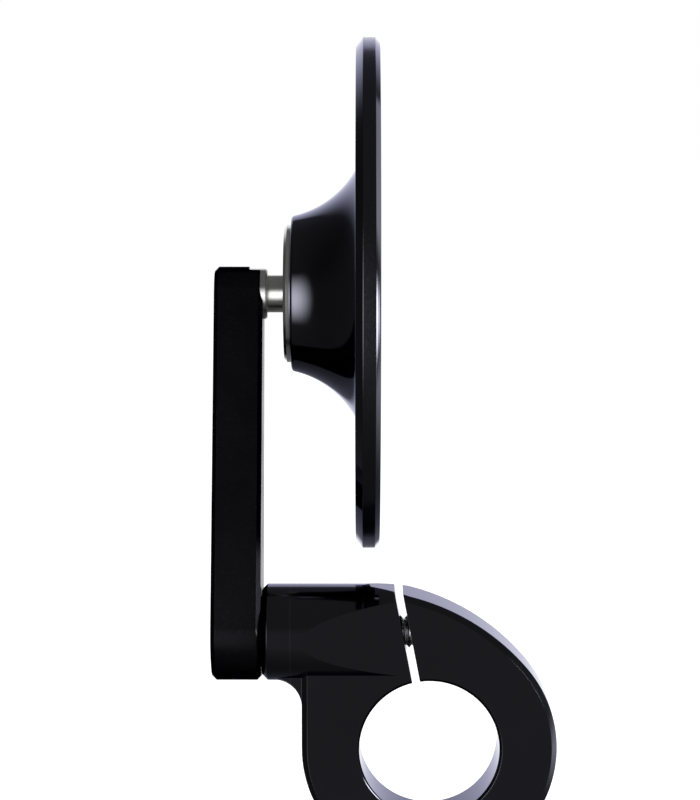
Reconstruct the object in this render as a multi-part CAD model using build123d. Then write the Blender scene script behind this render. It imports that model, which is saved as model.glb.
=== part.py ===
from build123d import *
import math
import os

# Bar end mirror for a motorcycle: a split clamp around the handlebar, a tapered arm that turns
# on the clamp's bolt, a ball stud in the arm's tip, and a round mirror head on the ball.
# Millimetres. The origin is on the bar's axis in the middle of the clamp. +X is the side that
# the mirror reflects towards, +Y runs along the bar towards its free end, and +Z is up.

# Clamp around the bar
BAR_DIAMETER = 25.4
BAR_CLEARANCE = 0.05
RING_WALL = 10.45
CLAMP_WIDTH = 11.0
CLAMP_CHAMFER = 1.0
BORE_CHAMFER = 0.5
SPLIT_WIDTH = 1.4
SPLIT_LEAN = 11.0
BOLT_COVER = 4.75
EAR_CREST_X = -13.7

# Round stub that carries the arm
STUB_DIAMETER = 17.6
STUB_REACH = 30.4
STUB_CHAMFER = 1.0
STUB_FILLET = 5.2
SCOOP_LENGTH = 17.8
SCOOP_END_X = -5.5
BLEND_SINK = 0.05

# Pivot bolt and what is stacked on it
BOLT_DIAMETER = 6.0
BOLT_ENGAGEMENT = 9.1
BOLT_HEAD_DIAMETER = 10.0
BOLT_HEAD_HEIGHT = 4.0
BOLT_HEAD_INSET = 0.5
BOLT_KEY = 4.0
BOLT_KEY_DEPTH = 2.4
BOLT_HOLE_CLEARANCE = 0.25
PIVOT_CLEARANCE = 0.04
THREAD_CLEARANCE = 0.02
THREAD_RUNOUT = 1.2
HEAD_WASHER_DIAMETER = 11.0
HEAD_WASHER_THICKNESS = 1.0
HEAD_SPRING_HEIGHT = 0.9
HEAD_SPRING_THICKNESS = 0.5
HEAD_POCKET_CLEARANCE = 0.2
FRICTION_WASHER_DIAMETER = 12.6
FRICTION_WASHER_THICKNESS = 0.5
FRICTION_WASHER_INSET = 0.4
WASHER_BORE_CLEARANCE = 0.1

# Arm
ARM_LENGTH = 62.3
ARM_LEAN = 14.0
ARM_THICKNESS = 9.0
ARM_TIP_WALL = 0.28
ARM_CHAMFER = 0.8
TIP_RELIEF = 0.7

# Ball stud and the screw that holds it
COLLAR_DIAMETER = 9.4
COLLAR_INSET = 2.6
COLLAR_PROUD = 0.75
COLLAR_CHAMFER = 0.3
COLLAR_CLEARANCE = 0.02
SHANK_DIAMETER = 7.0
NECK_DIAMETER = 5.0
BALL_DIAMETER = 10.0
BALL_REACH = 9.5
SHANK_GAP = 0.75
NECK_TAPER = 0.75
STUD_SCREW_DIAMETER = 4.0
STUD_SCREW_HEAD_DIAMETER = 8.0
STUD_SCREW_INSET = 0.2
STUD_SCREW_GRIP = 3.4
STUD_SCREW_KEY = 2.5
STUD_SCREW_KEY_DEPTH = 1.5
STUD_TAP_RUNOUT = 0.5
STUD_HOLE_CLEARANCE = 0.2

# Ball socket inside the hub
BALL_CLEARANCE = 0.03
LINER_WALL = 1.0
REAR_LINER_ANGLES = (95.0, 140.0)
FRONT_LINER_ANGLES = (15.0, 75.0)
SOCKET_GAP = 2.0
SOCKET_MOUTH_ANGLE = 130.0
CUP_WALL = 0.9
CUP_DIAMETER = 17.0
CUP_CLEARANCE = 0.05
PRELOAD_SPRING_HEIGHT = 1.0
PRELOAD_SPRING_THICKNESS = 0.5
PRELOAD_SPRING_WIDTH = 4.5
PRELOAD_SPRING_MARGIN = 1.0

# Retaining ring and its seal
RING_DIAMETER = 25.5
RING_FLANGE = 1.3
RING_CHAMFER = 0.5
RING_THREAD_DIAMETER = 21.0
RING_MOUTH_DIAMETER = 11.4
RING_SET_BACK = 4.3
THREAD_RELIEF = 0.6
SEAL_SECTION = 1.2
SEAL_CLEARANCE = 0.03

# Mirror housing
HUB_DIAMETER = 28.8
HUB_CHAMFER = 0.3
FLARE_DIAMETER = 46.2
FLARE_RADIUS = 17.5
DISC_DIAMETER = 94.0
DISC_THICKNESS = 4.4
DISC_BACK_CHAMFER = 1.3
DISC_BACK_BEVEL = 1.6
DISC_FRONT_CHAMFER = 0.9
FLOOR_WALL = 1.4
RIM_LAND = 1.75

# Mirror glass and the pad that bonds it
GLASS_THICKNESS = 1.5
GLASS_CURVE_RADIUS = 1400.0
GLASS_INSET = 0.1
GLASS_CLEARANCE = 0.15
PAD_EDGE = 0.3
PAD_MARGIN = 1.5

# Places worked out from those sizes
bore_radius = BAR_DIAMETER / 2 + BAR_CLEARANCE
ring_radius = bore_radius + RING_WALL
half_width = CLAMP_WIDTH / 2
stub_radius = STUB_DIAMETER / 2
bolt_radius = BOLT_DIAMETER / 2
bolt_hole_radius = bolt_radius + BOLT_HOLE_CLEARANCE
bolt_height = bore_radius + BOLT_COVER + bolt_hole_radius
crest_height = bolt_height + stub_radius
slit_x = -bolt_height * math.tan(math.radians(SPLIT_LEAN))

stub_end_x = -STUB_REACH
arm_face_x = stub_end_x + FRICTION_WASHER_INSET - FRICTION_WASHER_THICKNESS
arm_back_x = arm_face_x - ARM_THICKNESS
head_top_x = arm_back_x + BOLT_HEAD_INSET
head_seat_x = head_top_x + BOLT_HEAD_HEIGHT
head_washer_x = head_seat_x + HEAD_SPRING_HEIGHT
head_pocket_x = head_washer_x + HEAD_WASHER_THICKNESS
bolt_tip_x = slit_x + BOLT_ENGAGEMENT

collar_radius = COLLAR_DIAMETER / 2
collar_pocket_radius = collar_radius + COLLAR_CLEARANCE
arm_tip_radius = collar_pocket_radius + ARM_TIP_WALL
collar_seat_x = arm_face_x - COLLAR_INSET
collar_face_x = arm_face_x + COLLAR_PROUD
stud_screw_tip_x = collar_seat_x + STUD_SCREW_GRIP

lean = math.radians(ARM_LEAN)
ball_x = arm_face_x + BALL_REACH
ball_y = ARM_LENGTH * math.sin(lean)
ball_z = bolt_height + ARM_LENGTH * math.cos(lean)
ball_place = Pos(ball_x, ball_y, ball_z)
pivot_place = Pos(0, 0, bolt_height)
arm_place = pivot_place * Rot(-ARM_LEAN, 0, 0)

# Radii and distances inside the hub, along the mirror's axis from the ball's centre
ball_radius = BALL_DIAMETER / 2
liner_inner = ball_radius + BALL_CLEARANCE
liner_outer = liner_inner + LINER_WALL
socket_radius = liner_outer + BALL_CLEARANCE
cup_bottom = socket_radius + CUP_WALL
bore_floor = cup_bottom + PRELOAD_SPRING_HEIGHT
recess_floor = bore_floor + FLOOR_WALL
hub_back = -RING_SET_BACK
ring_back = hub_back - RING_FLANGE
ring_thread_radius = RING_THREAD_DIAMETER / 2
seal_groove_depth = SEAL_SECTION + 2 * SEAL_CLEARANCE
seal_groove_radius = ring_thread_radius + THREAD_CLEARANCE + seal_groove_depth
disc_radius = DISC_DIAMETER / 2
recess_radius = disc_radius - DISC_FRONT_CHAMFER - RIM_LAND
glass_radius = recess_radius - GLASS_CLEARANCE
glass_bow = GLASS_CURVE_RADIUS - math.sqrt(GLASS_CURVE_RADIUS**2 - glass_radius**2)
glass_back = recess_floor + PAD_EDGE + glass_bow
glass_front = glass_back + GLASS_THICKNESS
disc_front = glass_front + GLASS_INSET
disc_back = disc_front - DISC_THICKNESS


def turned(*edges):
    """A solid turned about the X axis from a closed outline of (along the axis, radius)."""
    return revolve(make_face(edges), axis=Axis.X)


def outline(*points):
    """A closed outline of straight lines."""
    return Polyline(*points, close=True)


def bar_along_x(radius, start, end):
    """A round bar on the X axis."""
    return turned(outline((start, 0), (end, 0), (end, radius), (start, radius)))


def washer_along_x(inner, outer, start, end):
    """A flat washer on the X axis."""
    return turned(outline((start, inner), (end, inner), (end, outer), (start, outer)))


def disc_spring(inner, outer, thickness, start, end):
    """A coned spring washer on the X axis, with its inner edge at start and its outer at end."""
    return turned(
        outline((start, inner), (start + thickness, inner), (end, outer), (end - thickness, outer))
    )


def key_socket(size, start, depth):
    """The hexagon that a key goes into, sunk along +X."""
    hexagon = RegularPolygon(size / 2, 6, major_radius=False)
    return extrude(Plane.YZ.offset(start) * hexagon, depth)


def spherical_ring(inner, outer, angles):
    """A zone of a spherical shell about the X axis, between two angles from +X."""
    start, end = angles
    inside = CenterArc((0, 0), inner, start, end - start)
    outside = CenterArc((0, 0), outer, start, end - start)
    return turned(inside, Line(inside @ 1, outside @ 1), outside, Line(outside @ 0, inside @ 0))


def clamp_plate():
    """The flat clamp seen along the bar: the ring, and the ear that rises over the bolt."""
    crest = (EAR_CREST_X, crest_height)
    ear_radius = (EAR_CREST_X**2 + crest_height**2 - ring_radius**2) / (2 * (crest_height - ring_radius))
    ear_centre = Vector(EAR_CREST_X, crest_height - ear_radius)
    merge = Vector(0, 0) - ear_centre
    merge_angle = math.atan2(merge.Y, merge.X)
    merge_point = (ring_radius * math.cos(merge_angle), ring_radius * math.sin(merge_angle))
    ear_middle_angle = (merge_angle + math.pi / 2) / 2
    ear_middle = (
        ear_centre.X + ear_radius * math.cos(ear_middle_angle),
        ear_centre.Y + ear_radius * math.sin(ear_middle_angle),
    )
    ring_middle_angle = (merge_angle - math.pi) / 2
    ring_middle = (ring_radius * math.cos(ring_middle_angle), ring_radius * math.sin(ring_middle_angle))
    side = (-ring_radius, 0)
    corner = (-ring_radius, crest_height)
    sheet = make_face(
        [
            Line(corner, crest),
            ThreePointArc(crest, ear_middle, merge_point),
            ThreePointArc(merge_point, ring_middle, side),
            Line(side, corner),
        ]
    )
    plate = extrude(Plane.XZ * sheet, half_width, both=True)
    faces = plate.faces().sort_by(Axis.Y)
    plate = chamfer(faces[0].edges() + faces[-1].edges(), CLAMP_CHAMFER)
    # The stub's round top runs on over the ear, so the plate is rounded off across its crest.
    crown = Pos(0, bolt_height) * Circle(stub_radius)
    below = Pos(0, bolt_height) * Rectangle(STUB_DIAMETER, 4 * ring_radius, align=(Align.CENTER, Align.MAX))
    rounding = extrude(Plane.YZ * (crown + below), 2 * ring_radius, both=True)
    return plate & rounding


def clamp_stub():
    """The round stub, cut away to a slope on both sides where it runs into the flat clamp."""
    end_ring = stub_radius - STUB_CHAMFER
    stub = turned(
        outline(
            (stub_end_x, 0),
            (SCOOP_END_X, 0),
            (SCOOP_END_X, stub_radius),
            (stub_end_x + STUB_CHAMFER, stub_radius),
            (stub_end_x, end_ring),
        )
    )
    stub = pivot_place * stub
    scoop_y = half_width - BLEND_SINK
    scoop = make_face(
        outline(
            (SCOOP_END_X - SCOOP_LENGTH, stub_radius),
            (SCOOP_END_X, scoop_y),
            (SCOOP_END_X, STUB_DIAMETER),
            (SCOOP_END_X - SCOOP_LENGTH, STUB_DIAMETER),
        )
    )
    cut = extrude(Plane.XY * scoop, bolt_height + STUB_DIAMETER)
    # Inside the ear the stub gives way to the plate, so that the ear's top falls towards the slit.
    room_start = EAR_CREST_X - CLAMP_CHAMFER
    room = Pos(room_start, 0, bolt_height) * Box(
        SCOOP_END_X - room_start,
        CLAMP_WIDTH - 2 * CLAMP_CHAMFER,
        STUB_DIAMETER,
        align=(Align.MIN, Align.CENTER, Align.MIN),
    )
    return stub - cut - mirror(cut, Plane.XZ) - room


def clamp_web():
    """The rounded inside corner between the stub's underside and the ring."""
    centre_x = -ring_radius - STUB_FILLET + BLEND_SINK
    centre_r = stub_radius + STUB_FILLET - BLEND_SINK
    root = bolt_hole_radius
    start = (centre_x, centre_r - STUB_FILLET)
    end = (centre_x + STUB_FILLET, centre_r)
    flare = turned(
        Line((centre_x, root), start),
        CenterArc((centre_x, centre_r), STUB_FILLET, -90, 90),
        Line(end, (end[0], root)),
        Line((end[0], root), (centre_x, root)),
    )
    reach = 2 * (stub_radius + STUB_FILLET)
    width = CLAMP_WIDTH - 2 * CLAMP_CHAMFER
    lower_half = Pos(centre_x, 0, 0) * Box(reach, width, reach, align=(Align.CENTER, Align.CENTER, Align.MAX))
    return pivot_place * (flare & lower_half)


def clamp_body():
    body = clamp_plate() + clamp_stub() + clamp_web()
    bore = Rot(90, 0, 0) * Cylinder(bore_radius, 2 * CLAMP_WIDTH)
    mouth = Rot(90, 0, 0) * Cone(bore_radius, bore_radius + BORE_CHAMFER, BORE_CHAMFER)
    mouth_y = half_width - BORE_CHAMFER / 2
    body -= bore
    body -= Pos(0, -mouth_y, 0) * mouth
    body -= Pos(0, mouth_y, 0) * Rot(0, 0, 180) * mouth
    slit = Box(SPLIT_WIDTH, 2 * CLAMP_WIDTH, 2 * crest_height, align=(Align.CENTER, Align.CENTER, Align.MIN))
    body -= Rot(0, -SPLIT_LEAN, 0) * slit
    # The bolt passes freely up to the slit and is screwed into the ear beyond it.
    body -= pivot_place * bar_along_x(bolt_hole_radius, stub_end_x, slit_x)
    body -= pivot_place * bar_along_x(bolt_radius + THREAD_CLEARANCE, slit_x, bolt_tip_x + THREAD_RUNOUT)
    seat = FRICTION_WASHER_DIAMETER / 2 + WASHER_BORE_CLEARANCE
    body -= pivot_place * bar_along_x(seat, stub_end_x, stub_end_x + FRICTION_WASHER_INSET)
    return body


def friction_washer():
    inner = bolt_radius + WASHER_BORE_CLEARANCE
    outer = FRICTION_WASHER_DIAMETER / 2
    start = stub_end_x + FRICTION_WASHER_INSET - FRICTION_WASHER_THICKNESS
    return pivot_place * washer_along_x(inner, outer, start, start + FRICTION_WASHER_THICKNESS)


def pivot_bolt():
    bolt = bar_along_x(BOLT_HEAD_DIAMETER / 2, head_top_x, head_seat_x)
    bolt += bar_along_x(bolt_radius, head_seat_x, bolt_tip_x)
    bolt -= key_socket(BOLT_KEY, head_top_x, BOLT_KEY_DEPTH)
    return pivot_place * bolt


def bolt_washer():
    inner = bolt_radius + WASHER_BORE_CLEARANCE
    return pivot_place * washer_along_x(inner, HEAD_WASHER_DIAMETER / 2, head_washer_x, head_pocket_x)


def bolt_spring_washer():
    inner = bolt_radius + WASHER_BORE_CLEARANCE
    outer = BOLT_HEAD_DIAMETER / 2
    spring = disc_spring(inner, outer, HEAD_SPRING_THICKNESS, head_seat_x, head_washer_x)
    return pivot_place * spring


def arm():
    """The tapered bar, upright on the pivot and then leaned outwards."""
    slope = math.asin((stub_radius - arm_tip_radius) / ARM_LENGTH)
    low_y = stub_radius * math.cos(slope)
    low_z = stub_radius * math.sin(slope)
    high_y = arm_tip_radius * math.cos(slope)
    high_z = ARM_LENGTH + arm_tip_radius * math.sin(slope)
    sheet = make_face(
        [
            Line((low_y, low_z), (high_y, high_z)),
            ThreePointArc((high_y, high_z), (0, ARM_LENGTH + arm_tip_radius), (-high_y, high_z)),
            Line((-high_y, high_z), (-low_y, low_z)),
            ThreePointArc((-low_y, low_z), (0, -stub_radius), (low_y, low_z)),
        ]
    )
    body = extrude(Plane.YZ.offset(arm_back_x) * sheet, ARM_THICKNESS)
    faces = body.faces().sort_by(Axis.X)
    body = chamfer(faces[0].edges() + faces[-1].edges(), ARM_CHAMFER)
    pocket_radius = HEAD_WASHER_DIAMETER / 2 + HEAD_POCKET_CLEARANCE
    body -= bar_along_x(pocket_radius, arm_back_x, head_pocket_x)
    body -= bar_along_x(bolt_radius + PIVOT_CLEARANCE, head_pocket_x, arm_face_x)
    tip = Pos(0, 0, ARM_LENGTH)
    body -= tip * bar_along_x(collar_pocket_radius, collar_seat_x, arm_face_x)
    body -= tip * bar_along_x(STUD_SCREW_DIAMETER / 2 + STUD_HOLE_CLEARANCE, arm_back_x, collar_seat_x)
    body -= tip * screw_cone(STUD_HOLE_CLEARANCE)
    # The collar's pocket breaks out through the arm's round tip.
    relief = Box(COLLAR_INSET, COLLAR_DIAMETER, COLLAR_DIAMETER, align=(Align.MIN, Align.CENTER, Align.MIN))
    body -= tip * Pos(collar_seat_x, 0, collar_radius - TIP_RELIEF) * relief
    return arm_place * body


def screw_cone(gap):
    """The countersunk head of the stud's screw, enlarged by a gap and open to the arm's back."""
    head = STUD_SCREW_HEAD_DIAMETER / 2
    top = arm_back_x + STUD_SCREW_INSET
    return turned(
        outline(
            (arm_back_x, 0),
            (top + head + gap, 0),
            (top, head + gap),
            (arm_back_x, head + gap),
        )
    )


def stud_screw():
    head = STUD_SCREW_HEAD_DIAMETER / 2
    shank = STUD_SCREW_DIAMETER / 2
    top = arm_back_x + STUD_SCREW_INSET
    screw = turned(
        outline(
            (top, 0),
            (stud_screw_tip_x, 0),
            (stud_screw_tip_x, shank),
            (top + head - shank, shank),
            (top, head),
        )
    )
    screw -= key_socket(STUD_SCREW_KEY, top, STUD_SCREW_KEY_DEPTH)
    return Pos(0, ball_y, ball_z) * screw


def ball_stud():
    """The stud, turned in one piece: collar, shank, neck and ball."""
    neck = NECK_DIAMETER / 2
    shank = SHANK_DIAMETER / 2
    shank_end = -ball_radius - SHANK_GAP
    collar_seat = collar_seat_x - ball_x
    collar_face = collar_face_x - ball_x
    stud = turned(
        outline(
            (collar_seat, 0),
            (0, 0),
            (0, neck),
            (shank_end + NECK_TAPER, neck),
            (shank_end, shank),
            (collar_face, shank),
            (collar_face, collar_radius - COLLAR_CHAMFER),
            (collar_face - COLLAR_CHAMFER, collar_radius),
            (collar_seat, collar_radius),
        )
    )
    stud += Sphere(ball_radius)
    tap_end = stud_screw_tip_x + STUD_TAP_RUNOUT - ball_x
    stud -= bar_along_x(STUD_SCREW_DIAMETER / 2 + THREAD_CLEARANCE, collar_seat, tap_end)
    return ball_place * stud


def rear_ball_liner():
    return ball_place * spherical_ring(liner_inner, liner_outer, REAR_LINER_ANGLES)


def front_ball_liner():
    return ball_place * spherical_ring(liner_inner, liner_outer, FRONT_LINER_ANGLES)


def pressure_cup():
    """The cup that the spring pushes against the front of the ball."""
    start = SOCKET_GAP / 2
    outer = CUP_DIAMETER / 2
    lip = (start, math.sqrt(socket_radius**2 - start**2))
    lip_angle = math.degrees(math.atan2(lip[1], lip[0]))
    cup = turned(
        CenterArc((0, 0), socket_radius, 0, lip_angle),
        Polyline(lip, (start, outer), (cup_bottom, outer), (cup_bottom, 0), (socket_radius, 0)),
    )
    return ball_place * cup


def preload_spring():
    outer = CUP_DIAMETER / 2 - PRELOAD_SPRING_MARGIN
    inner = outer - PRELOAD_SPRING_WIDTH
    spring = disc_spring(inner, outer, PRELOAD_SPRING_THICKNESS, cup_bottom, bore_floor)
    return ball_place * spring


def retaining_ring():
    """The threaded ring at the back of the hub that holds the ball in."""
    rim = RING_DIAMETER / 2
    mouth = RING_MOUTH_DIAMETER / 2
    throat_angle = math.radians(SOCKET_MOUTH_ANGLE)
    throat = (socket_radius * math.cos(throat_angle), socket_radius * math.sin(throat_angle))
    skirt_end = -SOCKET_GAP / 2
    seat_angle = math.acos(skirt_end / socket_radius)
    seat_end = (skirt_end, socket_radius * math.sin(seat_angle))
    middle_angle = (seat_angle + throat_angle) / 2
    seat_middle = (socket_radius * math.cos(middle_angle), socket_radius * math.sin(middle_angle))
    ring = turned(
        Polyline(
            throat,
            (ring_back, mouth),
            (ring_back, rim - RING_CHAMFER),
            (ring_back + RING_CHAMFER, rim),
            (hub_back, rim),
            (hub_back, ring_thread_radius),
            (skirt_end, ring_thread_radius),
            seat_end,
        ),
        ThreePointArc(seat_end, seat_middle, throat),
    )
    return ball_place * ring


def ring_seal():
    middle = ring_thread_radius + THREAD_CLEARANCE + seal_groove_depth / 2
    section = Pos(hub_back + seal_groove_depth / 2, middle) * Circle(SEAL_SECTION / 2)
    return ball_place * revolve(section, axis=Axis.X)


def mirror_housing():
    """The head, turned in one piece: hub, flare and disc, bored for the socket and the glass."""
    hub = HUB_DIAMETER / 2
    flare_start = (hub_back + HUB_CHAMFER, hub)
    flare_end = (disc_back, FLARE_DIAMETER / 2)
    body = turned(
        Polyline((disc_front, 0), (hub_back, 0), (hub_back, hub - HUB_CHAMFER), flare_start),
        RadiusArc(flare_start, flare_end, -FLARE_RADIUS),
        Polyline(
            flare_end,
            (disc_back, disc_radius - DISC_BACK_BEVEL),
            (disc_back + DISC_BACK_CHAMFER, disc_radius),
            (disc_front - DISC_FRONT_CHAMFER, disc_radius),
            (disc_front, disc_radius - DISC_FRONT_CHAMFER),
            (disc_front, 0),
        ),
    )
    thread_end = -SOCKET_GAP / 2 + THREAD_RELIEF
    body -= bar_along_x(seal_groove_radius, hub_back, hub_back + seal_groove_depth)
    body -= bar_along_x(ring_thread_radius + THREAD_CLEARANCE, hub_back, thread_end)
    body -= bar_along_x(CUP_DIAMETER / 2 + CUP_CLEARANCE, hub_back, bore_floor)
    body -= bar_along_x(recess_radius, recess_floor, disc_front)
    return ball_place * body


def bowed(apex, radius):
    """How far forward a curved glass face stands at a radius, given its highest point."""
    return apex - GLASS_CURVE_RADIUS + math.sqrt(GLASS_CURVE_RADIUS**2 - radius**2)


def bowed_arc(apex, radius):
    """The curve of a glass face, from its edge to the mirror's axis."""
    half = radius / 2
    return ThreePointArc((bowed(apex, radius), radius), (bowed(apex, half), half), (apex, 0))


def mirror_glass():
    front = bowed_arc(glass_front, glass_radius)
    back = bowed_arc(glass_back, glass_radius)
    return ball_place * turned(front, Line(front @ 1, back @ 1), back, Line(back @ 0, front @ 0))


def glass_bond_pad():
    radius = glass_radius - PAD_MARGIN
    front = bowed_arc(glass_back, radius)
    base = Polyline((glass_back, 0), (recess_floor, 0), (recess_floor, radius), front @ 0)
    return ball_place * turned(front, base)


pieces = {
    "clamp_body": clamp_body,
    "friction_washer": friction_washer,
    "pivot_bolt": pivot_bolt,
    "bolt_washer": bolt_washer,
    "bolt_spring_washer": bolt_spring_washer,
    "arm": arm,
    "stud_screw": stud_screw,
    "ball_stud": ball_stud,
    "rear_ball_liner": rear_ball_liner,
    "front_ball_liner": front_ball_liner,
    "pressure_cup": pressure_cup,
    "preload_spring": preload_spring,
    "retaining_ring": retaining_ring,
    "ring_seal": ring_seal,
    "mirror_housing": mirror_housing,
    "glass_bond_pad": glass_bond_pad,
    "mirror_glass": mirror_glass,
}

os.makedirs("parts", exist_ok=True)
for name, make in pieces.items():
    export_step(make(), f"parts/{name}.step")
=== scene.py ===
# %% [markdown]
# # Motorcycle bar end mirror
# A split clamp goes round the handlebar's end, a tapered arm turns on the clamp's bolt, and a ball
# stud in the arm's tip carries a round mirror. The imported model is loaded first. It fixes every
# piece's place and size, in metres with +Z up, so nothing in this lesson moves it. Its box is
# printed.

import math

import bpy
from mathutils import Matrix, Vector


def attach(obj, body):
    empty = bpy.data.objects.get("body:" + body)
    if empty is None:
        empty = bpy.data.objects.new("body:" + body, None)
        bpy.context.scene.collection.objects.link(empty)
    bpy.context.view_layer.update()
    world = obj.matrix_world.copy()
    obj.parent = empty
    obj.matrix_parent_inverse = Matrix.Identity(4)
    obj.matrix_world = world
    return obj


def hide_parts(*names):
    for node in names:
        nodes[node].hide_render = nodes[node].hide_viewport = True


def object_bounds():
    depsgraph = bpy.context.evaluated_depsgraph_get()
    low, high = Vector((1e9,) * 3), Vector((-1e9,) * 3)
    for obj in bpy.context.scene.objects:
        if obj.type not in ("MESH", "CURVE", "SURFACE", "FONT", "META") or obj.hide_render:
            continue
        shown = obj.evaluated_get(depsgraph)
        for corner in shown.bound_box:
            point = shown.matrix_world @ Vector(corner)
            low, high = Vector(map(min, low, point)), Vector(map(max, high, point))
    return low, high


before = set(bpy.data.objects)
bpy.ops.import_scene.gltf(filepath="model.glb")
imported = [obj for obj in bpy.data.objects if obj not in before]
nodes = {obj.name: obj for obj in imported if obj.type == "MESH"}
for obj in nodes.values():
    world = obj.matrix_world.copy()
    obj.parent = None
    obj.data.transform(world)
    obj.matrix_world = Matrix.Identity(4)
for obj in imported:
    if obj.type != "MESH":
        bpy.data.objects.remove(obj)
cad_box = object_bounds()
scene = bpy.context.scene
MM = 0.001
print("CAD box, mm", [[round(c / MM, 1) for c in corner] for corner in cad_box])

# %% [markdown]
# ## Camera
# The mirror is seen along the handlebar and a little from above, with a long lens from about
# 0.45 m. The camera stands almost in the plane of the round head, so the head shows edge-on.
# A long lens keeps the near and far edges of the narrow arm close together.

# %% Camera
IMAGE_HEIGHT = 800
FOCAL_LENGTH = 2466  # in pixels of that height
SENSOR = 36.0
CAMERA_PLACE = Vector((-12.06, -439.9, 125.25)) * MM
CAMERA_PITCH = math.radians(8.0)
CAMERA_YAW = math.radians(0.31)

camera_data = bpy.data.cameras.new("camera")
camera_data.sensor_width = SENSOR
camera_data.lens = FOCAL_LENGTH * SENSOR / IMAGE_HEIGHT
camera_data.clip_start = 10 * MM
camera = bpy.data.objects.new("camera", camera_data)
camera.location = CAMERA_PLACE
camera.rotation_euler = (math.pi / 2 - CAMERA_PITCH, 0, CAMERA_YAW)
scene.collection.objects.link(camera)
scene.camera = camera
print("Lens", round(camera_data.lens, 1), "mm")

# %% [markdown]
# ## Colours and nodes
# Colours are written as sRGB hex values, as a paint chart gives them, but shaders work in linear
# light, so one function turns the one into the other. Shaders and surroundings are graphs of
# nodes, and one more function adds a node, sets it up and links it to the nodes before it.

# %% Helpers for colours and nodes
def linear(hex_colour):
    """The linear RGBA of an sRGB hex colour."""
    shares = [int(hex_colour[i : i + 2], 16) / 255 for i in (1, 3, 5)]
    return [s / 12.92 if s <= 0.04045 else ((s + 0.055) / 1.055) ** 2.4 for s in shares] + [1.0]


def add_node(tree, kind, sockets=None, **settings):
    """A new node. A socket is given by name or number, with a value or an output to link."""
    node = tree.nodes.new("ShaderNode" + kind)
    for name, value in settings.items():
        setattr(node, name, value)
    for name, value in (sockets or {}).items():
        if isinstance(value, bpy.types.NodeSocket):
            tree.links.new(value, node.inputs[name])
        else:
            node.inputs[name].default_value = value
    return node.outputs


# %% [markdown]
# ## The studio that the metal reflects
# Polished black metal shows hardly any colour of its own. It shows its surroundings: black where it
# faces the dark side of the studio, and pale where it is seen flat on and mirrors the lit backdrop.
# So the world is drawn for reflections as a bright backdrop behind the mirror, from 20 degrees
# below the horizon to 34 degrees above it, and a dim room everywhere else, darkest on the left. The
# values that place them are parts of a direction of length 1: Y points away from the camera, Z up
# and X to the right. The camera itself sees plain white, and everything that isn't shiny gets an
# even grey light.

# %% World
BACKDROP_GLOW = 1.25
BACKDROP_NEAR = 0.58  # Y where the backdrop starts
BACKDROP_FAR = 0.9  # Y where it reaches its full glow
BACKDROP_LOW = -0.34  # Z of its lower edge
BACKDROP_HIGH = 0.56  # Z of its upper edge
EDGE = 0.03  # half the width over which those two edges fade
EVEN_LIGHT = 0.5
DARK_SIDE = 0.4  # share of the room's light on the far left
DARK_FROM = -0.85  # X where that darkest part ends
DARK_TO = -0.3  # X where the room has its full light
ROOM_LEVELS = [  # Z and the room's light there
    (-1.0, 0.1),
    (-0.8, 0.15),
    (-0.45, 0.24),
    (-0.2, 0.23),
    (0.12, 0.23),
    (0.38, 0.15),
    (1.0, 0.16),
]

world = bpy.data.worlds.new("studio")
scene.world = world
world.use_nodes = True
tree = world.node_tree
tree.nodes.clear()
direction = add_node(tree, "TexCoord")["Generated"]
along = add_node(tree, "SeparateXYZ", {0: direction})
behind = add_node(
    tree, "MapRange", {0: along["Y"], 1: BACKDROP_NEAR, 2: BACKDROP_FAR},
    interpolation_type="SMOOTHSTEP",
)[0]
over_low = add_node(
    tree, "MapRange", {0: along["Z"], 1: BACKDROP_LOW - EDGE, 2: BACKDROP_LOW + EDGE}
)[0]
under_high = add_node(
    tree, "MapRange", {0: along["Z"], 1: BACKDROP_HIGH + EDGE, 2: BACKDROP_HIGH - EDGE}
)[0]
between = add_node(tree, "Math", {0: over_low, 1: under_high}, operation="MULTIPLY")[0]
backdrop = add_node(tree, "Math", {0: between, 1: behind}, operation="MULTIPLY")[0]
height = add_node(tree, "MapRange", {0: along["Z"], 1: -1.0, 2: 1.0})[0]
room = add_node(tree, "ValToRGB", {0: height})
ramp = tree.nodes[-1].color_ramp
while len(ramp.elements) < len(ROOM_LEVELS):
    ramp.elements.new(0.5)
for stop, (level, brightness) in zip(ramp.elements, ROOM_LEVELS):
    stop.position = (level + 1) / 2
    stop.color = (brightness, brightness, brightness, 1)
side = add_node(
    tree, "MapRange", {0: along["X"], 1: DARK_FROM, 2: DARK_TO, 3: DARK_SIDE, 4: 1.0}
)[0]
room_light = add_node(tree, "Math", {0: room["Color"], 1: side}, operation="MULTIPLY")[0]
seen_in_metal = add_node(tree, "Mix", {0: backdrop, 2: room_light, 3: BACKDROP_GLOW})[0]
ray = add_node(tree, "LightPath")
shiny = add_node(
    tree, "Math", {0: ray["Is Glossy Ray"], 1: ray["Is Transmission Ray"]}, operation="MAXIMUM"
)[0]
for_surfaces = add_node(tree, "Mix", {0: shiny, 2: EVEN_LIGHT, 3: seen_in_metal})[0]
strength = add_node(tree, "Mix", {0: ray["Is Camera Ray"], 2: for_surfaces, 3: 1.0})[0]
light = add_node(tree, "Background", {"Color": linear("#ffffff"), "Strength": strength})[0]
add_node(tree, "OutputWorld", {"Surface": light})
print("World with", len(tree.nodes), "nodes")

# %% [markdown]
# ## Floor
# The floor is a large sheet of white paper below the clamp. A part of its light is its own, for the
# camera only, so that the paper comes out white without more light on the mirror. The rest is
# reflected light, so the mirror's soft shadow still shows. The metal mirrors the studio drawn
# above instead of the paper.

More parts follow.
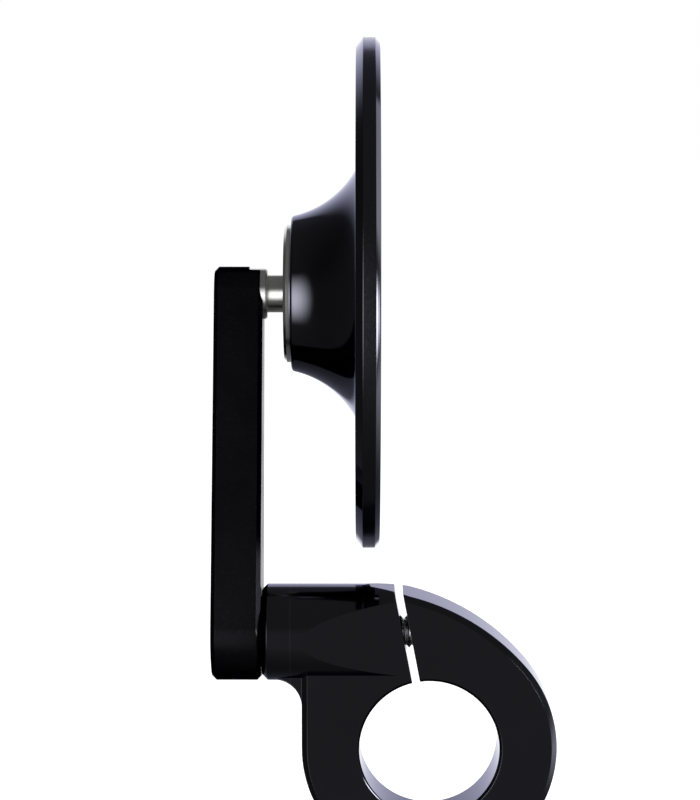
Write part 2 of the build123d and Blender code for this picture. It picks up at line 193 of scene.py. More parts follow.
# %% Floor
FLOOR_SIZE = 8.0
FLOOR_DROP = 45 * MM
PAPER_GLOW = 0.56
PAPER_ROUGHNESS = 0.9

bpy.ops.object.select_all(action="DESELECT")
bpy.ops.mesh.primitive_plane_add(size=FLOOR_SIZE, location=(0, 0, cad_box[0][2] - FLOOR_DROP))
floor = bpy.context.object
floor.name = "floor"
floor.visible_glossy = False
floor.visible_shadow = False
paper = bpy.data.materials.new("white paper")
paper.use_nodes = True
shader = paper.node_tree.nodes["Principled BSDF"]
shader.inputs["Base Color"].default_value = linear("#f7f7f7")
shader.inputs["Roughness"].default_value = PAPER_ROUGHNESS
shader.inputs["Specular IOR Level"].default_value = 0.0
shader.inputs["Emission Color"].default_value = linear("#ffffff")
for_camera = add_node(paper.node_tree, "LightPath")["Is Camera Ray"]
glow = add_node(paper.node_tree, "Math", {0: for_camera, 1: PAPER_GLOW}, operation="MULTIPLY")[0]
paper.node_tree.links.new(glow, shader.inputs["Emission Strength"])
floor.data.materials.append(paper)
print("Floor at", round(floor.location.z / MM, 1), "mm")

# %% [markdown]
# ## Lamps
# A softbox to the left of the camera draws the soft patch on the hub and the white band along the
# stud. On the right, a narrow strip draws the bright middle of the disc's front edge, and a dim
# panel lights the rest of that edge. The strip stands close to the head, so that the clamp doesn't
# mirror it. A real softbox is brightest in its middle, so each lamp fades towards its edges. A
# large lamp overhead only casts the shadow.

# %% Lamps
HEAD = Vector((-15, 15, 80)) * MM


def soft_lamp(name, azimuth, elevation, distance, size, radiance, fade):
    """A lamp that faces the head, at degrees to the left of the camera's side and upwards.

    Distance and size are in metres, and fade is the share of each side over which it dims.
    """
    turn = math.radians(azimuth)
    rise = math.radians(elevation)
    level_part = math.cos(rise)
    towards = Vector((-math.sin(turn) * level_part, -math.cos(turn) * level_part, math.sin(rise)))
    data = bpy.data.lights.new(name, "AREA")
    data.shape = "RECTANGLE"
    data.size, data.size_y = size
    data.energy = radiance * math.pi * size[0] * size[1]
    data.use_nodes = True
    tree = data.node_tree
    place = add_node(tree, "SeparateXYZ", {0: add_node(tree, "NewGeometry")["Parametric"]})
    levels = []
    for side, share in zip("XY", fade):
        from_middle = add_node(tree, "Math", {0: place[side], 1: 0.5}, operation="SUBTRACT")[0]
        away = add_node(tree, "Math", {0: from_middle}, operation="ABSOLUTE")[0]
        levels += add_node(
            tree, "MapRange", {0: away, 1: 0.5, 2: 0.5 - share}, interpolation_type="SMOOTHSTEP"
        )[:1]
    level = add_node(tree, "Math", {0: levels[0], 1: levels[1]}, operation="MULTIPLY")[0]
    tree.links.new(level, tree.nodes["Emission"].inputs["Strength"])
    lamp = bpy.data.objects.new(name, data)
    lamp.location = HEAD + towards * distance
    lamp.rotation_euler = towards.to_track_quat("Z", "Y").to_euler()
    lamp.visible_camera = False
    scene.collection.objects.link(lamp)
    print(name, "at", [round(c / MM) for c in lamp.location], "mm,", round(data.energy, 1), "W")
    return lamp


soft_lamp(
    "left softbox", azimuth=29, elevation=-3, distance=0.8, size=(0.78, 1.15), radiance=8.3,
    fade=(0.5, 0.5),
)
soft_lamp(
    "right strip", azimuth=-70.8, elevation=-7, distance=0.165, size=(0.025, 0.1), radiance=26.0,
    fade=(0.3, 0.3),
)
soft_lamp(
    "right panel", azimuth=-110, elevation=4, distance=0.8, size=(0.65, 1.5), radiance=3.0,
    fade=(0.12, 0.35),
)
shadow_lamp = soft_lamp(
    "overhead lamp", azimuth=30, elevation=65, distance=1.2, size=(0.8, 0.8), radiance=1.6,
    fade=(0.2, 0.2),
)
shadow_lamp.visible_glossy = False

# %% [markdown]
# ## Turned pieces
# Most of the head is turned on a lathe, so its pieces are round about one axis. They could be cut
# from cylinders, but a lathe is the plainer way: one vertex is drawn along half of the section,
# and the line is spun once around the axis. The corners then get a small rounding, because even a
# crisp machined edge has one, and it is what catches the light.

# %% Helpers for turned pieces
MERGE = 0.0005 * MM
SMOOTH_ANGLE = math.radians(40)
BALL = Vector((-21.0, 15.07173, 81.19942)) * MM  # centre of the ball, on the head's axis
PIVOT = Vector((0, 0, 20.75)) * MM  # on the bolt's axis


def arc(centre, radius, start, end, steps):
    """Points along an arc of the section, with its angles in degrees from the axis."""
    turns = [math.radians(start + (end - start) * i / steps) for i in range(steps + 1)]
    return [(centre[0] + radius * math.cos(t), centre[1] + radius * math.sin(t)) for t in turns]


def spin_section(name, section, middle, steps):
    """A piece turned about an axis along X, from points of (along the axis, radius) in mm."""
    bpy.ops.object.select_all(action="DESELECT")
    bpy.ops.mesh.primitive_plane_add(size=MM)
    piece = bpy.context.object
    piece.name = piece.data.name = name
    bpy.ops.object.mode_set(mode="EDIT")
    bpy.ops.mesh.select_mode(type="VERT")
    bpy.ops.mesh.select_all(action="SELECT")
    bpy.ops.mesh.merge(type="CENTER")
    places = [middle + Vector((x, 0, r)) * MM for x, r in section]
    bpy.ops.transform.translate(value=places[0])
    for before, after in zip(places, places[1:]):
        bpy.ops.mesh.extrude_region_move(TRANSFORM_OT_translate={"value": after - before})
    bpy.ops.mesh.select_all(action="SELECT")
    bpy.ops.mesh.remove_doubles(threshold=MERGE)
    bpy.ops.mesh.spin(steps=steps, angle=2 * math.pi, center=middle, axis=(1, 0, 0))
    bpy.ops.mesh.select_all(action="SELECT")
    bpy.ops.mesh.remove_doubles(threshold=MERGE)
    bpy.ops.mesh.normals_make_consistent(inside=False)
    bpy.ops.object.mode_set(mode="OBJECT")
    return piece


def break_edges(piece, width, corner=25, segments=3):
    """Rounds every edge sharper than the corner angle, by a width in mm, and smooths the rest."""
    bpy.ops.object.select_all(action="DESELECT")
    piece.select_set(True)
    bpy.context.view_layer.objects.active = piece
    rounding = piece.modifiers.new("rounding", "BEVEL")
    rounding.width = width * MM
    rounding.segments = segments
    rounding.limit_method = "ANGLE"
    rounding.angle_limit = math.radians(corner)
    rounding.miter_outer = "MITER_ARC"
    bpy.ops.object.modifier_apply(modifier=rounding.name)
    bpy.ops.object.shade_smooth_by_angle(angle=SMOOTH_ANGLE)
    evening = piece.modifiers.new("evening", "WEIGHTED_NORMAL")
    evening.keep_sharp = True
    bpy.ops.object.modifier_apply(modifier=evening.name)
    print(piece.name, len(piece.data.polygons), "faces")


def stand_for(piece, node, body):
    """Puts a finished piece in a CAD node's place."""
    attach(piece, body)
    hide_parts(node)


# %% [markdown]
# ## Mirror housing
# Hub, flare and disc are one piece of aluminium, turned, bored for the ball's socket at the back
# and for the glass at the front, then polished and anodised. The section runs from the socket's
# floor, out around the hub and the disc's rim, and back to the floor of the glass's recess.

# %% Mirror housing
HEAD_STEPS = 180
FLARE_RADIUS = 17.5
FLARE_STEPS = 28
flare_start = Vector((-4.0, 14.4))
flare_end = Vector((7.558, 23.1))
chord = flare_end - flare_start
sink = math.sqrt(FLARE_RADIUS**2 - (chord.length / 2) ** 2)
flare_centre = (flare_start + flare_end) / 2 + Vector((-chord.y, chord.x)).normalized() * sink
first = math.degrees(math.atan2(flare_start.y - flare_centre.y, flare_start.x - flare_centre.x))
last = math.degrees(math.atan2(flare_end.y - flare_centre.y, flare_end.x - flare_centre.x))
socket_side = [
    (7.96, 0), (7.96, 8.55), (-0.4, 8.55), (-0.4, 10.52), (-3.04, 10.52), (-3.04, 11.78),
    (-4.3, 11.78), (-4.3, 14.1),
]
disc_side = [
    (7.558, 45.4), (8.858, 47.0), (11.058, 47.0), (11.958, 46.1), (11.958, 44.35), (9.36, 44.35),
    (9.36, 0),
]
flare = arc(flare_centre, FLARE_RADIUS, first, last, FLARE_STEPS)
housing = spin_section("turned_housing", socket_side + flare + disc_side, BALL, HEAD_STEPS)
break_edges(housing, 0.12)
stand_for(housing, "mirror_housing", "head")

# %% [markdown]
# ## Mirror glass
# The glass is a shallow dome, so that it shows a wider view, ground smooth at its edge. Its section
# is two flat arcs, and spinning them gives the dome in one go.

# %% Mirror glass
GLASS_CURVE = 1400.0
GLASS_RADIUS = 44.2
GLASS_FRONT = 11.858
GLASS_BACK = 10.358
GLASS_STEPS = 16
glass_radii = [GLASS_RADIUS * i / GLASS_STEPS for i in range(GLASS_STEPS + 1)]


def bowed(apex, radius):
    """How far forward a face of the glass stands at a radius."""
    return apex - GLASS_CURVE + math.sqrt(GLASS_CURVE**2 - radius**2)


glass_section = [(bowed(GLASS_BACK, r), r) for r in glass_radii]
glass_section += [(bowed(GLASS_FRONT, r), r) for r in reversed(glass_radii)]
glass = spin_section("domed_glass", glass_section, BALL, HEAD_STEPS)
break_edges(glass, 0.2)
stand_for(glass, "mirror_glass", "head")

# %% [markdown]
# ## Retaining ring and ball stud
# The thin silver ring screws into the hub's back and holds the ball in. The stud is stainless bar,
# turned to a collar, a shank, a thin neck and the ball. Both are spun like the housing. The ring's
# chamfer stays crisp, and only its square corners are broken, so that the ring looks even.

# %% Retaining ring
ring_section = [
    (-5.6, 5.7), (-5.6, 12.25), (-5.1, 12.75), (-4.3, 12.75), (-4.3, 10.5), (-1.0, 10.5),
]
ring_section += arc((0, 0), 6.06, 99.5, 130, steps=8) + [(-5.6, 5.7)]
ring = spin_section("turned_ring", ring_section, BALL, steps=144)
break_edges(ring, 0.03, corner=60)
stand_for(ring, "retaining_ring", "head")

# %% Ball stud
stud_section = [
    (-8.2, 0), (-8.2, 2.02), (-12.1, 2.02), (-12.1, 4.7), (-9.05, 4.7), (-8.75, 4.4), (-8.75, 3.5),
    (-5.75, 3.5), (-5.0, 2.5),
]
stud_section += arc((0, 0), 5.0, 150, 0, steps=24)
stud = spin_section("turned_stud", stud_section, BALL, steps=96)
break_edges(stud, 0.08)
stand_for(stud, "ball_stud", "arm")

# %% [markdown]
# ## Pivot bolt
# The arm turns on a socket head bolt whose thread shows in the clamp's slit. The head and the core
# are turned like the stud. The thread is one small triangle that a Screw modifier winds up along
# the core, closed at both ends, and the key's hexagon is cut into the head with a Boolean.

# %% Bolt head and core
BOLT_END = -39.0
KEY_WIDTH = 4.0
KEY_DEPTH = 2.4
bolt_section = [
    (BOLT_END, 0), (BOLT_END, 4.7), (-38.7, 5.0), (-35.0, 5.0), (-35.0, 3.0), (-15.5, 3.0),
    (-14.8, 2.42), (4.4, 2.42), (5.07, 1.9), (5.07, 0),
]
bolt = spin_section("threaded_bolt", bolt_section, PIVOT, steps=64)
break_edges(bolt, 0.12)

bpy.ops.object.select_all(action="DESELECT")
bpy.ops.mesh.primitive_cylinder_add(
    vertices=6, radius=KEY_WIDTH / math.sqrt(3) * MM, depth=2 * KEY_DEPTH * MM,
    location=PIVOT + Vector((BOLT_END, 0, 0)) * MM, rotation=(0, math.pi / 2, 0),
)
key = bpy.context.object
hollow = bolt.modifiers.new("key", "BOOLEAN")
hollow.operation = "DIFFERENCE"
hollow.object = key
bpy.context.view_layer.objects.active = bolt
bpy.ops.object.modifier_apply(modifier=hollow.name)
bpy.data.objects.remove(key)
print("Bolt with its hexagon", len(bolt.data.polygons), "faces")

# %% Bolt thread
PITCH = 1.0
TURNS = 18
TURN_STEPS = 36
THREAD_START = -14.1
RIDGE_WIDTH = 0.96
RIDGE_HEIGHT = 0.61
RIDGE_FOOT = 2.36
corner_radius = RIDGE_WIDTH / math.sqrt(3)
flatter = RIDGE_HEIGHT / (1.5 * corner_radius)

bpy.ops.object.select_all(action="DESELECT")
bpy.ops.mesh.primitive_circle_add(
    vertices=3, radius=corner_radius * MM, fill_type="NOTHING", location=PIVOT,
    rotation=(math.pi / 2, 0, 0),
)
thread = bpy.context.object
bpy.ops.object.mode_set(mode="EDIT")
bpy.ops.mesh.select_all(action="SELECT")
bpy.ops.transform.resize(value=(1, 1, flatter), center_override=PIVOT)
ridge_middle = RIDGE_FOOT + corner_radius / 2 * flatter
bpy.ops.transform.translate(value=Vector((THREAD_START, 0, ridge_middle)) * MM)
bpy.ops.object.mode_set(mode="OBJECT")
winding = thread.modifiers.new("winding", "SCREW")
winding.axis = "X"
winding.angle = 2 * math.pi
winding.screw_offset = PITCH * MM
winding.iterations = TURNS
winding.steps = winding.render_steps = TURN_STEPS
winding.use_merge_vertices = False
bpy.ops.object.modifier_apply(modifier=winding.name)
bpy.ops.object.mode_set(mode="EDIT")
bpy.ops.mesh.select_all(action="DESELECT")
bpy.ops.mesh.select_non_manifold()
bpy.ops.mesh.fill()
bpy.ops.mesh.select_all(action="SELECT")
bpy.ops.mesh.normals_make_consistent(inside=False)
bpy.ops.object.mode_set(mode="OBJECT")
bpy.ops.object.transform_apply(location=True, rotation=True, scale=True)
bpy.ops.object.shade_smooth_by_angle(angle=SMOOTH_ANGLE)
bolt.select_set(True)
bpy.context.view_layer.objects.active = bolt
bpy.ops.object.join()
stand_for(bolt, "pivot_bolt", "clamp")
print("Bolt with its thread", len(bolt.data.polygons), "faces")

# %% [markdown]
# ## Clamp and arm
# The clamp and the arm are milled from solid, and the CAD model already has their exact shape. A
# copy of each mesh is merged and its flat faces are joined up, and then every edge is broken by a
# tenth of a millimetre, as a machinist does by hand, so that thin bright lines run along them.

# %% Helper for milled pieces
FLAT_ANGLE = math.radians(0.3)


def milled_copy(node, name):
    """A copy of a CAD mesh, merged, with its flat faces joined."""
    bpy.ops.object.select_all(action="DESELECT")
    mesh = nodes[node].data.copy()
    piece = bpy.data.objects.new(name, mesh)
    mesh.name = name
    scene.collection.objects.link(piece)
    piece.select_set(True)
    bpy.context.view_layer.objects.active = piece
    bpy.ops.object.mode_set(mode="EDIT")
    bpy.ops.mesh.select_mode(type="VERT")
    bpy.ops.mesh.select_all(action="SELECT")
    bpy.ops.mesh.customdata_custom_splitnormals_clear()
    bpy.ops.mesh.remove_doubles(threshold=MERGE)
    bpy.ops.mesh.dissolve_limited(angle_limit=FLAT_ANGLE)
    bpy.ops.object.mode_set(mode="OBJECT")
    return piece


# %% Clamp and arm
clamp = milled_copy("clamp_body", "milled_clamp")
break_edges(clamp, 0.12, corner=9, segments=2)
stand_for(clamp, "clamp_body", "clamp")
arm = milled_copy("arm", "milled_arm")
break_edges(arm, 0.15, corner=28, segments=2)
stand_for(arm, "arm", "arm")

# %% [markdown]
# ## Finishes
# Every finish starts from a real material and from how its surface was made. One helper starts a
# material and reads the piece's own coordinates, in metres, so every pattern can be given its real
# size. The other helper puts a finish on its pieces. Most of a noise's values lie in its middle, so
# that range is stretched over the finish's own range of roughness.

# %% Helpers for finishes
NOISE_LOW = 0.3
NOISE_HIGH = 0.7
WAVE_UNIT = math.pi / 10  # Scale at which a Wave texture repeats once in a metre


def new_finish(name, metallic):
    """A new material, with its node tree, its shader's sockets and its Object coordinates."""
    material = bpy.data.materials.new(name)
    material.use_nodes = True
    tree = material.node_tree
    sockets = tree.nodes["Principled BSDF"].inputs
    sockets["Metallic"].default_value = metallic
    return material, tree, sockets, add_node(tree, "TexCoord")["Object"]


def dress(material, *pieces):
    """Puts a finish on pieces, in the slots that they have or in a new one."""
    for piece in pieces:
        for place in piece.material_slots:
            place.material = material
        if not piece.material_slots:
            piece.data.materials.append(material)
    print(material.name, "on", ", ".join(piece.name for piece in pieces))


# %% [markdown]
# ## Polished black anodising
# The clamp is aluminium, polished and dyed black in the anodising bath. The eye sees hardly any
# colour of its own, only dark and slightly blue reflections, dulled in places by handling. So it is
# a dark metal whose sharpness wanders with soft smudges about a centimetre across. On the stub,
# where two cuts on the lathe met, a hair-fine lighter ring is a painted highlight along that seam's
# edge.

# %% Polished black anodised aluminium
SMUDGE = 12.0
POLISH_GRAIN = 0.6
DYE_PATCH = 25.0
POLISH_DEPTH = 0.003
POLISHED = (0.05, 0.11)  # roughness where clean and where dulled
# Where the lighter ring that paints the seam's highlight lies on the stub, and how wide it is.
SEAM_HIGHLIGHT_AT = -25.2  # X of the ring on the stub
SEAM_HIGHLIGHT_WIDTH = 0.16
ANODIC_TINT = linear("#e8e8ff")

polished_black, tree, sockets, place = new_finish("polished black anodised aluminium", 1.0)
sockets["Specular Tint"].default_value = ANODIC_TINT
smudges = add_node(
    tree, "TexNoise", {"Vector": place, "Scale": 1 / (SMUDGE * MM), "Detail": 3.0}
)["Fac"]
dulled = add_node(
    tree, "MapRange", {0: smudges, 1: NOISE_LOW, 2: NOISE_HIGH, 3: POLISHED[0], 4: POLISHED[1]}
)[0]
dye = add_node(
    tree, "TexNoise", {"Vector": place, "Scale": 1 / (DYE_PATCH * MM), "Detail": 1.0}
)["Fac"]
black = add_node(
    tree, "Mix", {0: dye, 6: linear("#39393f"), 7: linear("#414148")}, data_type="RGBA"
)[2]
along_stub = add_node(tree, "SeparateXYZ", {0: place})["X"]
# A thin ring of lighter base colour at the seam paints the highlight along its edge.
from_seam = add_node(tree, "Math", {0: along_stub, 1: SEAM_HIGHLIGHT_AT * MM}, operation="SUBTRACT")[0]
from_seam = add_node(tree, "Math", {0: from_seam}, operation="ABSOLUTE")[0]
seam_highlight = add_node(tree, "MapRange", {0: from_seam, 1: SEAM_HIGHLIGHT_WIDTH * MM, 2: 0.0})[0]
with_seam_highlight = add_node(tree, "Mix", {0: seam_highlight, 6: black, 7: linear("#4e4e56")}, data_type="RGBA")[2]
grain = add_node(
    tree, "TexNoise", {"Vector": place, "Scale": 1 / (POLISH_GRAIN * MM), "Detail": 2.0}
)["Fac"]
surface = add_node(
    tree, "Bump", {"Strength": 0.2, "Distance": POLISH_DEPTH * MM, "Height": grain}
)["Normal"]
tree.links.new(with_seam_highlight, sockets["Base Color"])
tree.links.new(dulled, sockets["Roughness"])
tree.links.new(surface, sockets["Normal"])
dress(polished_black, clamp)

# %% [markdown]
# ## Turned black anodising
# The housing has the same dark anodising, but on a turned surface. The lathe tool leaves concentric
# marks, which the polish doesn't quite remove, so reflections are a little streaked around the
# mirror's axis. A Wave texture in rings, centred on that axis by a Mapping node, draws them. Real
# marks are about 0.1 mm apart, and they are drawn three times as coarse so that they can be seen.
# The rim was turned and not polished, so where the distance from the axis reaches the rim the
# finish goes over to satin with a fine grain.

# %% Turned black anodised aluminium
TURNING_MARKS = 0.3
MARK_DEPTH = 0.001
TURNED = (0.05, 0.1)
RIM_START = 46.9  # radius where the satin rim begins
RIM_FULL = 46.97
RIM_SATIN = (0.16, 0.24)
RIM_GRAIN = 0.5

turned_black, tree, sockets, place = new_finish("turned black anodised aluminium", 1.0)
sockets["Specular Tint"].default_value = ANODIC_TINT
smudges = add_node(
    tree, "TexNoise", {"Vector": place, "Scale": 1 / (SMUDGE * MM), "Detail": 3.0}
)["Fac"]
dulled = add_node(
    tree, "MapRange", {0: smudges, 1: NOISE_LOW, 2: NOISE_HIGH, 3: TURNED[0], 4: TURNED[1]}
)[0]
dye = add_node(
    tree, "TexNoise", {"Vector": place, "Scale": 1 / (DYE_PATCH * MM), "Detail": 1.0}
)["Fac"]
black = add_node(
    tree, "Mix", {0: dye, 6: linear("#3a3a40"), 7: linear("#404047")}, data_type="RGBA"
)[2]
from_axis = add_node(tree, "Mapping", {"Vector": place, "Location": BALL}, vector_type="TEXTURE")[0]
rings_scale = WAVE_UNIT / (TURNING_MARKS * MM)
marks = add_node(
    tree, "TexWave", {"Vector": from_axis, "Scale": rings_scale},
    wave_type="RINGS", rings_direction="X",
)["Fac"]
across = add_node(tree, "Mapping", {"Vector": from_axis, "Scale": (0, 1, 1)})[0]
radius = add_node(tree, "VectorMath", {0: across}, operation="LENGTH")["Value"]
rim = add_node(tree, "MapRange", {0: radius, 1: RIM_START * MM, 2: RIM_FULL * MM})[0]
grain = add_node(
    tree, "TexNoise", {"Vector": place, "Scale": 1 / (RIM_GRAIN * MM), "Detail": 2.0}
)["Fac"]
rim_grain = add_node(
    tree, "MapRange", {0: grain, 1: NOISE_LOW, 2: NOISE_HIGH, 3: RIM_SATIN[0], 4: RIM_SATIN[1]}
)[0]
gloss = add_node(tree, "Mix", {0: rim, 2: dulled, 3: rim_grain})[0]
surface = add_node(
    tree, "Bump", {"Strength": 0.5, "Distance": MARK_DEPTH * MM, "Height": marks}
)["Normal"]
tree.links.new(black, sockets["Base Color"])
tree.links.new(gloss, sockets["Roughness"])
tree.links.new(surface, sockets["Normal"])
dress(turned_black, housing)

# %% [markdown]
# ## Bead-blasted black anodising
# The arm was blasted with glass beads before it was anodised. Each bead leaves a dent, so the
# surface scatters light and looks satin, with a fine sparkle of lighter specks. A bead's dent is
# about 0.1 mm wide. The grain is drawn at 0.35 mm, because a finer one doesn't show from here.

# %% Bead-blasted black anodised aluminium
BLAST_GRAIN = 0.35
BLAST_DEPTH = 0.01
BLAST_PATCH = 8.0
BLASTED = (0.17, 0.22)
SPECKS_FROM = 0.58  # part of the grain that shows as lighter specks
SPECKS_FULL = 0.72

blasted_black, tree, sockets, place = new_finish("bead-blasted black anodised aluminium", 1.0)
sockets["Specular Tint"].default_value = linear("#7a7a84")
grain = add_node(
    tree, "TexNoise", {"Vector": place, "Scale": 1 / (BLAST_GRAIN * MM), "Detail": 2.0}
)["Fac"]
specks = add_node(tree, "MapRange", {0: grain, 1: SPECKS_FROM, 2: SPECKS_FULL})[0]
satin = add_node(
    tree, "Mix", {0: specks, 6: linear("#1e1e22"), 7: linear("#2b2b31")}, data_type="RGBA"
)[2]
patches = add_node(
    tree, "TexNoise", {"Vector": place, "Scale": 1 / (BLAST_PATCH * MM), "Detail": 2.0}
)["Fac"]
scatter = add_node(
    tree, "MapRange", {0: patches, 1: NOISE_LOW, 2: NOISE_HIGH, 3: BLASTED[0], 4: BLASTED[1]}
)[0]
surface = add_node(
    tree, "Bump", {"Strength": 0.2, "Distance": BLAST_DEPTH * MM, "Height": grain}
)["Normal"]
tree.links.new(satin, sockets["Base Color"])
tree.links.new(scatter, sockets["Roughness"])
tree.links.new(surface, sockets["Normal"])
dress(blasted_black, arm)

# %% [markdown]
# ## Turned stainless steel
# The stud is stainless bar, left as it came from the lathe. Its feed marks run around it and spread
# each highlight along the axis, so the light forms one bright band. The anisotropy gives that band
# and bands along the axis give the marks, 0.28 mm apart, about twice as coarse as a fine feed.

# %% Turned stainless steel
FEED_MARKS = 0.28
FEED_DEPTH = 0.004
FEED_ROUGHNESS = 0.32

turned_steel, tree, sockets, place = new_finish("turned stainless steel", 1.0)
sockets["Roughness"].default_value = FEED_ROUGHNESS
sockets["Anisotropic"].default_value = 0.9
sockets["Anisotropic Rotation"].default_value = 0.25
tangent = add_node(tree, "Tangent", axis="X", direction_type="RADIAL")[0]
bands_scale = WAVE_UNIT / (FEED_MARKS * MM)
marks = add_node(
    tree, "TexWave", {"Vector": place, "Scale": bands_scale, "Distortion": 0.4},
    wave_type="BANDS", bands_direction="X",
)["Fac"]
bright = add_node(
    tree, "Mix", {0: marks, 6: linear("#bdbdbc"), 7: linear("#c7c7c6")}, data_type="RGBA"
)[2]
surface = add_node(
    tree, "Bump", {"Strength": 0.4, "Distance": FEED_DEPTH * MM, "Height": marks}
)["Normal"]
tree.links.new(tangent, sockets["Tangent"])
tree.links.new(bright, sockets["Base Color"])
tree.links.new(surface, sockets["Normal"])
dress(turned_steel, stud)

# %% [markdown]
# ## Polished stainless steel
# The bolt, its washer and the stud's screw are bought parts of stainless steel, rolled and tumbled
# bright. They are clearer than the stud, with fine random scratches from tumbling and a slightly
# warm grey, so a noise varies how sharp the reflections are and, a little, how bright.

# %% Polished stainless steel
TUMBLE_SCRATCH = 0.8
TUMBLED = (0.16, 0.3)

bright_steel, tree, sockets, place = new_finish("polished stainless steel", 1.0)
scratches = add_node(
    tree, "TexNoise", {"Vector": place, "Scale": 1 / (TUMBLE_SCRATCH * MM), "Detail": 4.0}
)["Fac"]
sharpness = add_node(
    tree, "MapRange", {0: scratches, 1: NOISE_LOW, 2: NOISE_HIGH, 3: TUMBLED[0], 4: TUMBLED[1]}
)[0]
shade = add_node(
    tree, "Mix", {0: scratches, 6: linear("#bfbfbd"), 7: linear("#cfcfcd")}, data_type="RGBA"
)[2]
tree.links.new(shade, sockets["Base Color"])
tree.links.new(sharpness, sockets["Roughness"])
dress(bright_steel, bolt, nodes["bolt_washer"], nodes["stud_screw"])

# %% [markdown]
# ## Satin turned aluminium
# The retaining ring and the cup under the ball are bare aluminium with a fine turned and etched
# surface. It mirrors the dim room as an even grey and the backdrop at its two ends as white. Rings
# around the mirror's axis, 0.25 mm apart, keep it from looking painted.

# %% Satin turned aluminium
SATIN_MARKS = 0.25
SATIN_DEPTH = 0.002
ETCHED = (0.17, 0.23)

satin_silver, tree, sockets, place = new_finish("satin turned aluminium", 1.0)
from_axis = add_node(tree, "Mapping", {"Vector": place, "Location": BALL}, vector_type="TEXTURE")[0]
rings_scale = WAVE_UNIT / (SATIN_MARKS * MM)
marks = add_node(
    tree, "TexWave", {"Vector": from_axis, "Scale": rings_scale},
    wave_type="RINGS", rings_direction="X",
)["Fac"]
silver = add_node(
    tree, "Mix", {0: marks, 6: linear("#bdbdbc"), 7: linear("#c8c8c7")}, data_type="RGBA"
)[2]
patches = add_node(
    tree, "TexNoise", {"Vector": place, "Scale": 1 / (BLAST_PATCH * MM), "Detail": 2.0}
)["Fac"]
scatter = add_node(
    tree, "MapRange", {0: patches, 1: NOISE_LOW, 2: NOISE_HIGH, 3: ETCHED[0], 4: ETCHED[1]}
)[0]
surface = add_node(
    tree, "Bump", {"Strength": 0.3, "Distance": SATIN_DEPTH * MM, "Height": marks}
)["Normal"]
tree.links.new(silver, sockets["Base Color"])
tree.links.new(scatter, sockets["Roughness"])
tree.links.new(surface, sockets["Normal"])
dress(satin_silver, ring, nodes["pressure_cup"])

# %% [markdown]
# ## Blued spring steel
# The two coned springs are tempered strip. Tempering leaves a thin oxide that shifts between
# straw and blue in soft patches, over the dull grey of the rolled steel.

# %% Blued spring steel
TEMPER_PATCH = 3.0
TEMPERED = (0.28, 0.42)

spring_blue, tree, sockets, place = new_finish("blued spring steel", 1.0)
patches = add_node(
    tree, "TexNoise", {"Vector": place, "Scale": 1 / (TEMPER_PATCH * MM), "Detail": 2.0}
)["Fac"]
temper = add_node(
    tree, "Mix", {0: patches, 6: linear("#8c8378"), 7: linear("#5f6a86")}, data_type="RGBA"
)[2]
dulled = add_node(
    tree, "MapRange", {0: patches, 1: NOISE_LOW, 2: NOISE_HIGH, 3: TEMPERED[0], 4: TEMPERED[1]}
)[0]
tree.links.new(temper, sockets["Base Color"])
tree.links.new(dulled, sockets["Roughness"])
dress(spring_blue, nodes["bolt_spring_washer"], nodes["preload_spring"])

# %% [markdown]
# ## Plastics and rubber
# Four soft materials sit inside the joints. The friction washer is nylon filled with glass fibre,
# moulded and dull. The ball's liners are white acetal, machined and slightly waxy. The seal is
# moulded rubber, and the pad behind the glass is acrylic foam with open cells. They differ in
# colour and in the size and depth of their grain, so one loop makes them from a row each.

# %% Plastics and rubber
SOFT_SPREAD = 0.06
LINERS = ["rear_ball_liner", "front_ball_liner"]
SOFT_FINISHES = [  # name, two colours, roughness, width and depth of the grain in mm, nodes
    ("moulded filled nylon", "#2b2b2d", "#3a3a3c", 0.55, 0.3, 0.02, ["friction_washer"]),
    ("machined acetal", "#e2e0d7", "#eceae2", 0.38, 0.8, 0.004, LINERS),
    ("moulded rubber", "#17171a", "#212124", 0.6, 0.5, 0.01, ["ring_seal"]),
    ("acrylic foam", "#2c2c2e", "#434346", 0.85, 0.4, 0.08, ["glass_bond_pad"]),
]

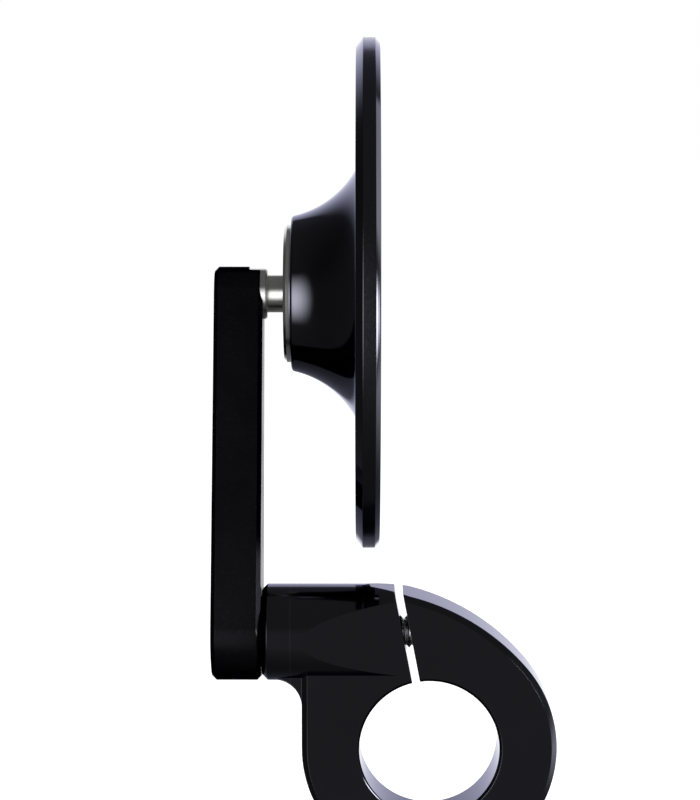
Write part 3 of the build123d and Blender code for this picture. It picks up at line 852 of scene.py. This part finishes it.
for name, dark, light, roughness, grain_size, depth, wearers in SOFT_FINISHES:
    soft, tree, sockets, place = new_finish(name, 0.0)
    grain = add_node(
        tree, "TexNoise", {"Vector": place, "Scale": 1 / (grain_size * MM), "Detail": 3.0}
    )["Fac"]
    shade = add_node(
        tree, "Mix", {0: grain, 6: linear(dark), 7: linear(light)}, data_type="RGBA"
    )[2]
    least = roughness - SOFT_SPREAD
    most = roughness + SOFT_SPREAD
    dulled = add_node(
        tree, "MapRange", {0: grain, 1: NOISE_LOW, 2: NOISE_HIGH, 3: least, 4: most}
    )[0]
    surface = add_node(
        tree, "Bump", {"Strength": 0.4, "Distance": depth * MM, "Height": grain}
    )["Normal"]
    tree.links.new(shade, sockets["Base Color"])
    tree.links.new(dulled, sockets["Roughness"])
    tree.links.new(surface, sockets["Normal"])
    dress(soft, *[nodes[wearer] for wearer in wearers])

# %% [markdown]
# ## Silvered glass
# The mirror is glass with a metal film behind it, so it acts as a bright metal under a clear coat.
# A road mirror's film gives back a little over half of the light, with a cool tint, so that it
# doesn't dazzle. It stays sharp, and only a faint film of dust and wiping dulls it in patches a few
# centimetres wide.

# %% Silvered glass
WIPE_PATCH = 30.0
WIPE_LOW = 0.35
WIPED = (0.01, 0.05)
COAT_ROUGHNESS = 0.02

silvered, tree, sockets, place = new_finish("silvered glass", 1.0)
sockets["Coat Weight"].default_value = 0.5
sockets["Coat Roughness"].default_value = COAT_ROUGHNESS
wiped = add_node(
    tree, "TexNoise", {"Vector": place, "Scale": 1 / (WIPE_PATCH * MM), "Detail": 4.0}
)["Fac"]
film = add_node(
    tree, "MapRange", {0: wiped, 1: WIPE_LOW, 2: NOISE_HIGH, 3: WIPED[0], 4: WIPED[1]}
)[0]
tint = add_node(
    tree, "Mix", {0: wiped, 6: linear("#c6ced2"), 7: linear("#bdc6ca")}, data_type="RGBA"
)[2]
tree.links.new(tint, sockets["Base Color"])
tree.links.new(film, sockets["Roughness"])
dress(silvered, glass)

# %% [markdown]
# ## View
# The Standard view shows colours as they are written.

# %% View
scene.view_settings.view_transform = "Standard"
